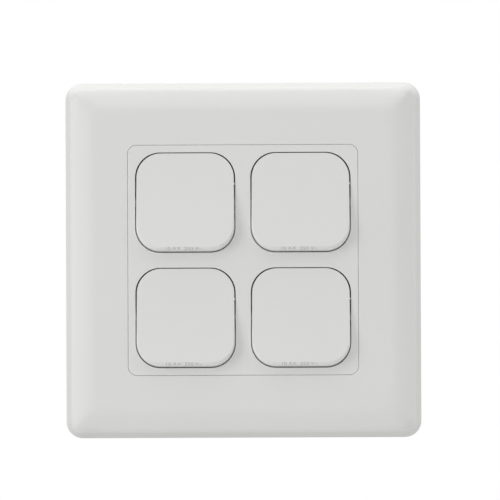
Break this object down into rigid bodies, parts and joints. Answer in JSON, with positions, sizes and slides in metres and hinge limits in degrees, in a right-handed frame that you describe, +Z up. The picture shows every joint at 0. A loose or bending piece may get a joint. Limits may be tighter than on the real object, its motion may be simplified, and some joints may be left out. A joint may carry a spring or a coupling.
{
  "type": "dolly light switch",
  "caption": "Square flush wall switch with dished rocker dollies in a clip-on surround; each dolly rocks a changeover contact that is wired at screw terminals behind.",
  "frame": {"origin": "centre of the wall plane, midway between the fixing slots", "axes": "+X to the right seen from the front, +Y into the wall, +Z up"},
  "size_m": [0.086, 0.0284, 0.086],
  "materials": {
    "cover_plastic": "satin",
    "dolly_plastic": "satin",
    "base_plastic": "matte",
    "housing_plastic": "matte",
    "plunger_plastic": "matte",
    "spring_steel": "bright",
    "screw_steel": "zinc plated",
    "terminal_brass": "bright",
    "contact_brass": "bright",
    "tip_silver": "bright"
  },
  "bodies": {
    "switch_body": {"surround_frame": "cover_plastic", "centre_plate": "cover_plastic", "mounting_base": "base_plastic", "rear_housing": "housing_plastic", "housing_screws": "screw_steel", "terminal_screws": "screw_steel", "fixed_tips": "tip_silver", "common_terminal_upper_left": "terminal_brass", "first_way_terminal_upper_left": "terminal_brass", "second_way_terminal_upper_left": "terminal_brass", "common_terminal_upper_right": "terminal_brass", "first_way_terminal_upper_right": "terminal_brass", "second_way_terminal_upper_right": "terminal_brass", "common_terminal_lower_left": "terminal_brass", "first_way_terminal_lower_left": "terminal_brass", "second_way_terminal_lower_left": "terminal_brass", "common_terminal_lower_right": "terminal_brass", "first_way_terminal_lower_right": "terminal_brass", "second_way_terminal_lower_right": "terminal_brass"},
    "upper_left_dolly": {"dolly_upper_left": "dolly_plastic", "plunger_spring_upper_left": "spring_steel"},
    "upper_left_plunger": {"plunger_upper_left": "plunger_plastic"},
    "upper_left_contact": {"rocking_contact_upper_left": "contact_brass", "moving_tips_upper_left": "tip_silver"},
    "upper_right_dolly": {"dolly_upper_right": "dolly_plastic", "plunger_spring_upper_right": "spring_steel"},
    "upper_right_plunger": {"plunger_upper_right": "plunger_plastic"},
    "upper_right_contact": {"rocking_contact_upper_right": "contact_brass", "moving_tips_upper_right": "tip_silver"},
    "lower_left_dolly": {"dolly_lower_left": "dolly_plastic", "plunger_spring_lower_left": "spring_steel"},
    "lower_left_plunger": {"plunger_lower_left": "plunger_plastic"},
    "lower_left_contact": {"rocking_contact_lower_left": "contact_brass", "moving_tips_lower_left": "tip_silver"},
    "lower_right_dolly": {"dolly_lower_right": "dolly_plastic", "plunger_spring_lower_right": "spring_steel"},
    "lower_right_plunger": {"plunger_lower_right": "plunger_plastic"},
    "lower_right_contact": {"rocking_contact_lower_right": "contact_brass", "moving_tips_lower_right": "tip_silver"}
  },
  "joints": [
    {"name": "upper_left_dolly_rock", "type": "hinge", "parent": "switch_body", "child": "upper_left_dolly", "pos_m": [-0.01386, -0.00675, 0.01386], "axis": [1, 0, 0], "range_deg": [0, 10.4]},
    {"name": "upper_left_plunger_slide", "type": "slide", "parent": "upper_left_dolly", "child": "upper_left_plunger", "axis": [0, -0.9959, 0.0906], "range_m": [0, 0.001], "stiffness_N_per_m": 400, "springref_m": -0.002, "deforming": ["plunger_spring_upper_left"]},
    {"name": "upper_left_contact_rock", "type": "hinge", "parent": "switch_body", "child": "upper_left_contact", "pos_m": [-0.01386, 0.007, 0.01386], "axis": [1, 0, 0], "range_deg": [-24, 0]},
    {"name": "upper_right_dolly_rock", "type": "hinge", "parent": "switch_body", "child": "upper_right_dolly", "pos_m": [0.01386, -0.00675, 0.01386], "axis": [1, 0, 0], "range_deg": [0, 10.4]},
    {"name": "upper_right_plunger_slide", "type": "slide", "parent": "upper_right_dolly", "child": "upper_right_plunger", "axis": [0, -0.9959, 0.0906], "range_m": [0, 0.001], "stiffness_N_per_m": 400, "springref_m": -0.002, "deforming": ["plunger_spring_upper_right"]},
    {"name": "upper_right_contact_rock", "type": "hinge", "parent": "switch_body", "child": "upper_right_contact", "pos_m": [0.01386, 0.007, 0.01386], "axis": [1, 0, 0], "range_deg": [-24, 0]},
    {"name": "lower_left_dolly_rock", "type": "hinge", "parent": "switch_body", "child": "lower_left_dolly", "pos_m": [-0.01386, -0.00675, -0.01386], "axis": [1, 0, 0], "range_deg": [0, 10.4]},
    {"name": "lower_left_plunger_slide", "type": "slide", "parent": "lower_left_dolly", "child": "lower_left_plunger", "axis": [0, -0.9959, 0.0906], "range_m": [0, 0.001], "stiffness_N_per_m": 400, "springref_m": -0.002, "deforming": ["plunger_spring_lower_left"]},
    {"name": "lower_left_contact_rock", "type": "hinge", "parent": "switch_body", "child": "lower_left_contact", "pos_m": [-0.01386, 0.007, -0.01386], "axis": [1, 0, 0], "range_deg": [-24, 0]},
    {"name": "lower_right_dolly_rock", "type": "hinge", "parent": "switch_body", "child": "lower_right_dolly", "pos_m": [0.01386, -0.00675, -0.01386], "axis": [1, 0, 0], "range_deg": [0, 10.4]},
    {"name": "lower_right_plunger_slide", "type": "slide", "parent": "lower_right_dolly", "child": "lower_right_plunger", "axis": [0, -0.9959, 0.0906], "range_m": [0, 0.001], "stiffness_N_per_m": 400, "springref_m": -0.002, "deforming": ["plunger_spring_lower_right"]},
    {"name": "lower_right_contact_rock", "type": "hinge", "parent": "switch_body", "child": "lower_right_contact", "pos_m": [0.01386, 0.007, -0.01386], "axis": [1, 0, 0], "range_deg": [-24, 0]}
  ],
  "couplings": [
    {"joint": "upper_left_contact_rock", "follows": "upper_left_dolly_rock", "ratio": -2.3077},
    {"joint": "upper_right_contact_rock", "follows": "upper_right_dolly_rock", "ratio": -2.3077},
    {"joint": "lower_left_contact_rock", "follows": "lower_left_dolly_rock", "ratio": -2.3077},
    {"joint": "lower_right_contact_rock", "follows": "lower_right_dolly_rock", "ratio": -2.3077}
  ]
}
